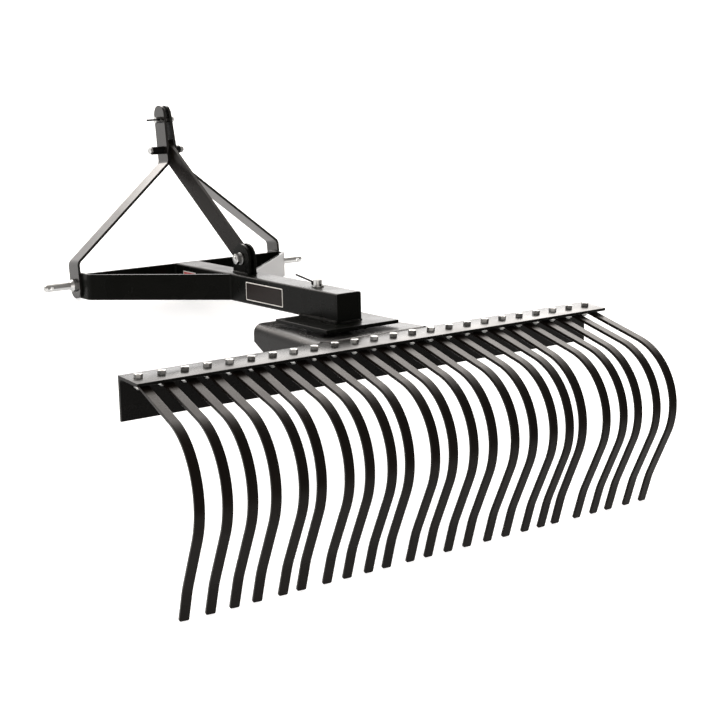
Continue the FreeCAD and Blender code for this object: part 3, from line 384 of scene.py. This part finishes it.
def powder_coat(name, colour, lighter, rough, peel, ior):
    """Powder coat on steel: a deep, even colour with a faint orange peel, a little duller
    where the coat is thick."""
    material, tree = new_material(name)
    place = add(tree, "ShaderNodeTexCoord")
    cloud = add(tree, "ShaderNodeTexNoise", {"Scale": 1 / COAT_CLOUD, "Detail": 4.0},
                {"Vector": (place, "Object")})
    film = add(tree, "ShaderNodeTexNoise", {"Scale": 1 / ORANGE_PEEL, "Detail": 2.0},
               {"Vector": (place, "Object")})
    shade = add(tree, "ShaderNodeMix", {"A": linear(colour), "B": linear(lighter)},
                {"Factor": (cloud, "Fac")}, data_type="RGBA")
    gloss = add(tree, "ShaderNodeMapRange",
                {"From Min": 0.3, "From Max": 0.7, "To Min": rough * 0.8,
                 "To Max": rough * 1.3}, {"Value": (cloud, "Fac")})
    wave = add(tree, "ShaderNodeBump", {"Strength": peel, "Distance": PEEL_DEPTH},
               {"Height": (film, "Fac")})
    skin = add(tree, "ShaderNodeBsdfPrincipled", {"IOR": ior, "Metallic": 0.0},
               {"Base Color": (shade, "Result"), "Roughness": (gloss, "Result"),
                "Normal": (wave, "Normal")})
    add(tree, "ShaderNodeOutputMaterial", {}, {"Surface": (skin, "BSDF")})
    return material


def zinc_plate(name, colour, lighter, rough):
    """Zinc or oxide finish on steel wire and fasteners: a metal that is a little cloudy from
    the bath, and duller than a polished one where it is seen almost edge on."""
    material, tree = new_material(name)
    place = add(tree, "ShaderNodeTexCoord")
    cloud = add(tree, "ShaderNodeTexNoise", {"Scale": 1 / ZINC_CLOUD, "Detail": 3.0},
                {"Vector": (place, "Object")})
    shade = add(tree, "ShaderNodeMix", {"A": linear(colour), "B": linear(lighter)},
                {"Factor": (cloud, "Fac")}, data_type="RGBA")
    gloss = add(tree, "ShaderNodeMapRange", {"To Min": rough * 0.7, "To Max": rough * 1.4},
                {"Value": (cloud, "Fac")})
    skin = add(tree, "ShaderNodeBsdfPrincipled",
               {"Metallic": 1.0, "Specular Tint": (0.2, 0.2, 0.2, 1.0)},
               {"Base Color": (shade, "Result"), "Roughness": (gloss, "Result")})
    add(tree, "ShaderNodeOutputMaterial", {}, {"Surface": (skin, "BSDF")})
    return material


def vinyl(name, colour, darker, rough, ior):
    """Printed vinyl film: even colour, soft gloss, the faintest mottle from the glue."""
    material, tree = new_material(name)
    place = add(tree, "ShaderNodeTexCoord")
    mottle = add(tree, "ShaderNodeTexNoise", {"Scale": 1 / GLUE_MOTTLE, "Detail": 2.0},
                 {"Vector": (place, "Object")})
    shade = add(tree, "ShaderNodeMix", {"A": linear(colour), "B": linear(darker)},
                {"Factor": (mottle, "Fac")}, data_type="RGBA")
    skin = add(tree, "ShaderNodeBsdfPrincipled", {"IOR": ior, "Roughness": rough},
               {"Base Color": (shade, "Result")})
    add(tree, "ShaderNodeOutputMaterial", {}, {"Surface": (skin, "BSDF")})
    return material


# Most coats have a low IOR. It keeps a face that is seen squarely deep black, where the
# common 1.5 would mirror the pale floor as grey, and still lets it flash nearly white at a
# glancing angle.
# Bar and bracket: black that turns to a pale sheen on the long level tops.
FRAME_COAT = powder_coat("gloss_black_powder_coat", "#070706", "#0C0B0A", 0.26, 0.06, 1.2)
# Boom, plates and lower frame, with their welds: the deepest black, solid beside the floor.
BOOM_COAT = powder_coat("deep_black_powder_coat", "#060705", "#0A0B09", 0.26, 0.08, 1.15)
# Tines and brace: a shade browner, with soft lights along the bends.
TINE_COAT = powder_coat("black_coat_on_flat_steel", "#0D0A08", "#14100D", 0.26, 0.1, 1.17)
# Mast straps and right side bar: high gloss, which mirrors with sharp edges as enamel does.
STRAP_COAT = powder_coat("high_gloss_black_powder_coat", "#0D0C0B", "#131110", 0.14, 0.06,
                         1.5)
# Spacer tubes: satin, one broad dim band of light and no clear reflection.
SATIN_COAT = powder_coat("satin_black_coat", "#070707", "#0B0B0B", 0.4, 0.2, 1.2)
# Bolts and pins: a cool white metal, the palest thing on the black frame.
ZINC = zinc_plate("bright_zinc_plate", "#B9BAB9", "#C9CAC9", 0.32)
# Clips: dark metal with thin bright lines along the wire.
WIRE = zinc_plate("black_oxide_spring_wire", "#1C1C1D", "#29292A", 0.35)
# Blank plates: flat, matt print colours, a white border round warm black or red.
WHITE_FILM = vinyl("white_vinyl_film", "#E4E2DE", "#D9D6D0", 0.4, 1.45)
BLACK_FILM = vinyl("black_vinyl_film", "#160F0D", "#1D1512", 0.35, 1.2)
RED_FILM = vinyl("red_vinyl_film", "#C0404A", "#AE3640", 0.4, 1.45)

SLOT_MATERIALS = {"frame_paint": FRAME_COAT, "tine_paint": TINE_COAT,
                  "spacer_paint": SATIN_COAT, "zinc_bolt": ZINC, "zinc_pin": ZINC,
                  "dark_wire": WIRE}
# Nodes whose coat isn't their slot's own.
NODE_COATS = {"boom": BOOM_COAT, "boom_end_plate": BOOM_COAT, "side_bar_left": BOOM_COAT,
              "cross_bar": BOOM_COAT, "brace_lug_left": BOOM_COAT,
              "brace_lug_right": BOOM_COAT, "turntable_plate": BOOM_COAT,
              "mast_strap_left": STRAP_COAT, "mast_strap_right": STRAP_COAT,
              "side_bar_right": STRAP_COAT, "brace": TINE_COAT}
SUBPARTS = {part["node"]: part for part in frame["record"]["subparts"]}
for node, part in SUBPARTS.items():
    solid = frame["nodes"][node]
    solid.data.materials.clear()
    solid.data.materials.append(SLOT_MATERIALS[part["material_slot"]])

# ---------------------------------------------------------------- tine bar and tines
FIRST_X = -(TINE_COUNT - 1) / 2 * TINE_PITCH


def angle_bar():
    """Formed angle: the top leg is drawn level and the hanging leg is plumb once tilted."""
    tilt = math.radians(BAR_TILT)
    front = BAR_FLANGE - BAR_EDGE
    inner = front - BAR_THICK / math.cos(tilt) * (1 + math.sin(tilt))
    foot = np.array([front - BAR_LEG * math.sin(tilt), -BAR_LEG * math.cos(tilt)])
    heel = foot + BAR_THICK * np.array([-math.cos(tilt), math.sin(tilt)])
    outline = rounded_outline(
        [(-BAR_EDGE, 0), (-BAR_EDGE, -BAR_THICK), (inner, -BAR_THICK), heel, foot, (front, 0)],
        [SAWN_EDGE, SAWN_EDGE, BAR_ROOT, SAWN_EDGE, SAWN_EDGE, BAR_NOSE])
    bar = on_bar(stretched(outline, [-BAR_LENGTH / 2, BAR_LENGTH / 2]))
    make_piece("angle_bar", [bar], FRAME_COAT, "rake_head", ["tine_bar"])


def tine(number):
    """One bent flat bar: a rounded section carried from its front end to the toe, where a
    quarter circle on each side narrows it."""
    t = np.linspace(0, math.pi / 2, 6)
    rounding = TINE_CORNER * np.diff(np.sin(t))
    beside_end = 1 * MM
    steps = [beside_end, TINE_LEAD + TINE_FLAT - beside_end, TINE_DROOP, TINE_RUN, TINE_BELLY,
             TINE_SHANK, TINE_TOE_BEND, TINE_TOE - TINE_CORNER]
    points, angles = bent_path(180, steps + list(rounding))
    narrow = np.ones(len(points))
    narrow[-len(t):] = 1 - 2 * TINE_CORNER * (1 - np.cos(t)) / TINE_WIDTH
    shape = carried(rounded_bar(TINE_WIDTH, TINE_THICK, TINE_EDGE), points, angles, narrow)
    shape[..., 1] += TINE_LEAD
    shape = turned(shape, "z", -SPLAYS[number - 1])
    shape += [FIRST_X + (number - 1) * TINE_PITCH, 0, -BAR_THICK - TINE_THICK / 2]
    make_piece("blade_%02d" % number, [on_bar(shape)], TINE_COAT, "rake_head",
               ["tine_%02d" % number])


angle_bar()
for number in range(1, TINE_COUNT + 1):
    tine(number)

BOLT_FLATS = 19 * MM
BOLT_THREAD = 12 * MM
BOLT_TALL = 10 * MM              # head and nut alike
BOLT_TAIL = 4 * MM
IN_NUT = 2 * MM                  # thread drawn on inside a nut


def tine_bolt(number):
    """Hex head, nut and threaded end of one tine bolt, as three shells. Each head and nut
    is turned a little from its neighbour's."""
    place = (FIRST_X + (number - 1) * TINE_PITCH) * X
    under = (-BAR_THICK - TINE_THICK) * Z
    head = turned(hex_block(BOLT_FLATS, BOLT_TALL), "z", 17 * (number - 1)) + place
    nut = turned(hex_block(BOLT_FLATS, BOLT_TALL, both_ends=True), "z", 23 * (number - 1))
    nut = nut + place + under - BOLT_TALL * Z
    tail = threaded(BOLT_THREAD, -BOLT_TALL - BOLT_TAIL, -BOLT_TALL + IN_NUT) + place + under
    return [on_bar(shell) for shell in (head, nut, tail)]


bolt_shells = [shell for number in range(1, TINE_COUNT + 1) for shell in tine_bolt(number)]
make_piece("tine_bolt_row", bolt_shells, ZINC, "rake_head", ["tine_bolts"])

# ---------------------------------------------------------------- frame with rounded edges
PRESSED_EDGE, FLAT_BAR_EDGE, FINE_EDGE, TURNED_EDGE = 1.2 * MM, 1.0 * MM, 0.8 * MM, 0.6 * MM
for node, edge in (("head_bracket", PRESSED_EDGE), ("turntable_plate", PRESSED_EDGE),
                   ("boom", FINE_EDGE), ("boom_end_plate", FINE_EDGE),
                   ("cross_bar", FLAT_BAR_EDGE), ("side_bar_left", FLAT_BAR_EDGE),
                   ("side_bar_right", FLAT_BAR_EDGE), ("mast_strap_left", FLAT_BAR_EDGE),
                   ("mast_strap_right", FLAT_BAR_EDGE), ("brace", FLAT_BAR_EDGE),
                   ("brace_lug_left", FLAT_BAR_EDGE), ("brace_lug_right", FLAT_BAR_EDGE),
                   ("hitch_pin_left", TURNED_EDGE), ("hitch_pin_right", TURNED_EDGE),
                   ("lock_pin", FINE_EDGE), ("top_link_pin", FINE_EDGE),
                   ("spacer_left", TURNED_EDGE), ("spacer_right", TURNED_EDGE),
                   ("king_pin", TURNED_EDGE)):
    dressed(node, edge)


# ---------------------------------------------------------------- bolts of the mast
def through_bolt(name, node, place, across, tall, grip, nut_at_left, washers=()):
    """Bolt along X: shank, head, nut, threaded end and washers.

    across gives its flats and its thread, tall its head, its nut and its end beyond the nut,
    and grip the two planes that head and nut bear on. It is drawn about Z, with head and nut
    turned 20 degrees, and the block at the lower plane is mirrored.
    """
    flats, thread = across
    head_tall, nut_tall, tail = tall
    left, right = grip
    shells = [revolved([(thread / 2, left), (thread / 2, right)], 32)]
    for block, at_left in ((hex_block(flats, head_tall), not nut_at_left),
                           (hex_block(flats, nut_tall, both_ends=True), nut_at_left)):
        block = turned(block, "z", 20)
        shells.append(block * [1, 1, -1] + left * Z if at_left else block + right * Z)
    if nut_at_left:
        ends = left - nut_tall - tail, left - nut_tall + IN_NUT
    else:
        ends = right + nut_tall - IN_NUT, right + nut_tall + tail
    shells.append(threaded(thread, *ends))
    chamfer = 0.5 * MM
    for low, high in washers:
        shells.append(revolved([(thread - chamfer, low), (thread, low + chamfer),
                                (thread, high - chamfer), (thread - chamfer, high)], 40))
    make_piece(name, [place(turned(shell, "y", 90)) for shell in shells], ZINC, "hitch",
               [node])


def at_tie(points):
    """Puts points drawn about the cross bolt's middle on the mast."""
    return on_mast(points + TIE_RISE * Z)


def at_lugs(points):
    """Puts points drawn about the brace bolt's middle between the lugs."""
    return points + LUG_AHEAD * Y + (BOOM_TOP + LUG_HALF) * Z


TIE_GRIP = (-55.6 * MM, 41.55 * MM)
WASHER_FACE = LUG_FACE + SEAT
BOLT_FACE = WASHER_FACE + 4 * MM
through_bolt("cross_bolt_finished", "cross_bolt", at_tie, (19 * MM, 12 * MM),
             (8 * MM, 10 * MM, 4 * MM), TIE_GRIP, False)
through_bolt("brace_bolt_finished", "brace_bolt", at_lugs, (27 * MM, 18 * MM),
             (12 * MM, 16 * MM, 3 * MM), (-BOLT_FACE, BOLT_FACE), True,
             [(-BOLT_FACE, -WASHER_FACE), (WASHER_FACE, BOLT_FACE)])

# ---------------------------------------------------------------- welds
HEAVY_LEG = 6 * MM
LIGHT_LEG = 5 * MM
BOOM_RISE = 8 * MM               # up the boom's round corner from the plate
SEAM_RISE = 1.8 * MM             # up the bracket's front, which is nearly level with the bar
PLATE_FRONT = PIVOT_AHEAD + PLATE_SIDE / 2
SIDE_BAR_FOOT = 679.6 * MM       # where the side bars' rear ends meet the boom
ALONG_BAR = (0.713, 0.701)       # a side bar's direction, outwards and ahead
SIDE_BAR_REACH = 37 * MM * Z     # half of the weld at a side bar's end
BOOM_REACH = 34 * MM             # half of the weld across a face of the boom
SEAM_REACH = 168 * MM * X        # half of the seam between the bar and the bracket
CHEEK_LOW, CHEEK_HIGH = 440 * MM * Z, 512 * MM * Z
frame_beads = []
for side in (-1, 1):
    wall = side * BOOM_HALF
    lug = side * LUG_FACE
    foot = np.array([side * (BOOM_HALF + SEAT), SIDE_BAR_FOOT, BOOM_MID])
    corner = np.array([wall, CROSS_AHEAD, BOOM_MID])
    frame_beads += [
        weld_bead([wall, BOOM_REAR, PLATE_TOP], [wall, PLATE_FRONT, PLATE_TOP], side * X, Z,
                  HEAVY_LEG, BOOM_RISE),
        weld_bead([lug, LUG_AHEAD - LUG_HALF, BOOM_TOP], [lug, LUG_AHEAD + LUG_HALF, BOOM_TOP],
                  side * X, Z, LIGHT_LEG),
        weld_bead(foot - SIDE_BAR_REACH, foot + SIDE_BAR_REACH, -Y,
                  side * ALONG_BAR[0] * X + ALONG_BAR[1] * Y, LIGHT_LEG),
        weld_bead(corner - BOOM_REACH * Z, corner + BOOM_REACH * Z, side * X, -Y, LIGHT_LEG)]
frame_beads.append(weld_bead([-BOOM_REACH, BOOM_REAR, PLATE_TOP],
                             [BOOM_REACH, BOOM_REAR, PLATE_TOP], -Y, Z, HEAVY_LEG))
make_piece("frame_welds", frame_beads, BOOM_COAT, "hitch", crease=60)

seam = on_bar((BAR_FLANGE - BAR_EDGE) * Y) + SEAT * Y
head_beads = [weld_bead(seam - SEAM_REACH, seam + SEAM_REACH, turned(-Y, "x", BAR_TILT), Z,
                        HEAVY_LEG, SEAM_RISE)]
for side in (-1, 1):
    cheek = side * (BRACKET_HALF - 0.4 * MM) * X + seam[1] * Y
    head_beads.append(weld_bead(cheek + CHEEK_LOW, cheek + CHEEK_HIGH, side * X, Y, LIGHT_LEG))
make_piece("bracket_weld", head_beads, FRAME_COAT, "rake_head", crease=60)


# ---------------------------------------------------------------- blank label plates
FILM_CORNER = 2 * MM
FILM_SUNK = 0.2 * MM
BORDER_PROUD = 0.5 * MM
FACE_PROUD = 0.8 * MM


def film(name, low, high, inset, proud, material):
    """Thin film on the boom's left side between two (y, z) corners in millimetres, each
    brought in by the inset. Its own corners are round."""
    (y0, z0), (y1, z1) = np.array(low) + inset, np.array(high) - inset
    corners = np.array([(y0, z0), (y1, z0), (y1, z1), (y0, z1)]) * MM
    sheet = stretched(rounded_outline(corners, [FILM_CORNER] * 4),
                      [-BOOM_HALF - proud, -BOOM_HALF + FILM_SUNK])
    make_piece(name, [sheet], material, "hitch")


LABEL = (411, 570), (599, 623)
STICKER = (880, 584), (952, 619)
film("label_border", *LABEL, (0, 0), BORDER_PROUD, WHITE_FILM)
film("label_face", *LABEL, (2.8, 2.8), FACE_PROUD, BLACK_FILM)
film("sticker_border", *STICKER, (0, 0), BORDER_PROUD, WHITE_FILM)
film("sticker_face", *STICKER, (4, 3), FACE_PROUD, RED_FILM)

# ---------------------------------------------------------------- floor
FLOOR_LIFT = 0.62
FLOOR_HALF = 55


def floor_material():
    """Seamless white studio floor; the lift seen by the eye and in gloss keeps it white."""
    material, tree = new_material("seamless_white_floor")
    rays = add(tree, "ShaderNodeLightPath")
    seen = add(tree, "ShaderNodeMath", {}, {0: (rays, "Is Camera Ray"),
                                            1: (rays, "Is Glossy Ray")}, operation="MAXIMUM")
    seen = add(tree, "ShaderNodeMath", {}, {0: (seen, "Value"),
                                            1: (rays, "Is Transmission Ray")},
               operation="MAXIMUM")
    lift = add(tree, "ShaderNodeMath", {1: FLOOR_LIFT}, {0: (seen, "Value")},
               operation="MULTIPLY")
    skin = add(tree, "ShaderNodeBsdfPrincipled",
               {"Base Color": linear("#E6E6E6"), "Roughness": 0.9,
                "Emission Color": (1, 1, 1, 1)}, {"Emission Strength": (lift, "Value")})
    add(tree, "ShaderNodeOutputMaterial", {}, {"Surface": (skin, "BSDF")})
    return material


mesh = bpy.data.meshes.new("floor")
mesh.from_pydata([(-FLOOR_HALF, -FLOOR_HALF, 0), (FLOOR_HALF, -FLOOR_HALF, 0),
                  (FLOOR_HALF, FLOOR_HALF, 0), (-FLOOR_HALF, FLOOR_HALF, 0)], [], [(0, 1, 2, 3)])
mesh.materials.append(floor_material())
floor = bpy.data.objects.new("floor", mesh)
bpy.context.scene.collection.objects.link(floor)


# ---------------------------------------------------------------- lamps
def panel(name, centre, towards, size, radiance, gloss=True, diffuse=True):
    """Soft rectangular lamp of a given radiance, which the eye doesn't see. It shines in
    reflections alone, or on matt surfaces alone, where one of the two is off."""
    wide, tall = size
    lamp = bpy.data.lights.new(name, "AREA")
    lamp.shape = "RECTANGLE"
    lamp.size, lamp.size_y = wide, tall
    lamp.energy = radiance * math.pi * wide * tall
    holder = bpy.data.objects.new(name, lamp)
    bpy.context.scene.collection.objects.link(holder)
    holder.location = centre
    aim = np.array(towards) - np.array(centre)
    holder.rotation_euler = Vector(aim.tolist()).to_track_quat("-Z", "Y").to_euler()
    holder.visible_camera = False
    holder.visible_glossy = gloss
    holder.visible_diffuse = diffuse


RAKE_MIDDLE = (0, 0, 0.3)
# The card stands ahead of the rake, and the level tops of bar, boom and plate mirror it. The
# fills light matt surfaces alone.
panel("ahead_card", (1.52, 1.4, 0.5), (1.52, 0.0, 0.5), (2.76, 0.98), 2.4, diffuse=False)
panel("fill_front", (-1.0, 4.0, 3.2), RAKE_MIDDLE, (5.0, 3.0), 1.6, gloss=False)
panel("fill_left", (-4.5, -1.5, 2.2), RAKE_MIDDLE, (4.0, 3.0), 1.6, gloss=False)
panel("fill_rear", (0.5, -4.5, 2.6), RAKE_MIDDLE, (5.0, 3.0), 1.4, gloss=False)

# ---------------------------------------------------------------- sky
SKY_BASE = 0.36
# Bright patches: direction, inner and outer angle in degrees, and radiance. The first is a
# faint glow low ahead. The others are mirrored by the tines' upper runs, by the left strap and
# the bracket's end, and by the sides of the bolts.
SKY = [((0.60, 0.80, 0.0), 9, 17, 1.6), ((0.74, 0.60, 0.32), 8, 34, 5.4),
       ((-0.09, 0.967, 0.244), 16, 28, 7.2), ((-0.45, -0.85, 0.25), 10, 30, 1.8)]


def lobe(tree, way, towards, inner, outer, strength):
    """Soft patch of sky: full within the inner angle of a direction, gone past the outer."""
    towards = np.array(towards) / np.linalg.norm(towards)
    near = add(tree, "ShaderNodeVectorMath", {1: towards.tolist()}, {0: (way, "Generated")},
               operation="DOT_PRODUCT")
    return add(tree, "ShaderNodeMapRange",
               {"From Min": math.cos(math.radians(outer)),
                "From Max": math.cos(math.radians(inner)), "To Max": strength},
               {"Value": (near, "Value")}, interpolation_type="SMOOTHSTEP")


world = bpy.data.worlds.new("studio")
bpy.context.scene.world = world
world.use_nodes = True
tree = world.node_tree
tree.nodes.clear()
way = add(tree, "ShaderNodeTexCoord")
total = None
for towards, inner, outer, strength in SKY:
    patch = lobe(tree, way, towards, inner, outer, strength)
    links = {1: (patch, "Result")}
    if total:
        links[0] = (total, "Value")
    total = add(tree, "ShaderNodeMath", {0: SKY_BASE}, links, operation="ADD")
sky = add(tree, "ShaderNodeBackground", {"Color": linear("#FFF8F2")},
          {"Strength": (total, "Value")})
add(tree, "ShaderNodeOutputWorld", {}, {"Surface": (sky, "Background")})

# ---------------------------------------------------------------- camera
# Written in the level frame, behind the rake on its left and a little above it.
EYE = np.array([-2.5356, -3.3297, 1.3211])
YAW, PITCH, ROLL = (math.radians(v) for v in (36.42, -11.40, -1.27))
ahead = np.array([math.sin(YAW) * math.cos(PITCH), math.cos(YAW) * math.cos(PITCH),
                  math.sin(PITCH)])
right = np.array([math.cos(YAW), -math.sin(YAW), 0])
above = np.cross(right, ahead)
right, above = (math.cos(ROLL) * right + math.sin(ROLL) * above,
                math.cos(ROLL) * above - math.sin(ROLL) * right)
lens = bpy.data.cameras.new("camera")
lens.lens = 81.2
lens.sensor_width = 36
camera = bpy.data.objects.new("camera", lens)
bpy.context.scene.collection.objects.link(camera)
matrix = np.eye(4)
matrix[:3, :3] = LEVEL_TO_ROW @ np.stack([right, above, -ahead], axis=1)
matrix[:3, 3] = to_row(EYE)
camera.matrix_world = Matrix(matrix.tolist())
bpy.context.scene.camera = camera
bpy.context.scene.view_settings.view_transform = "Standard"
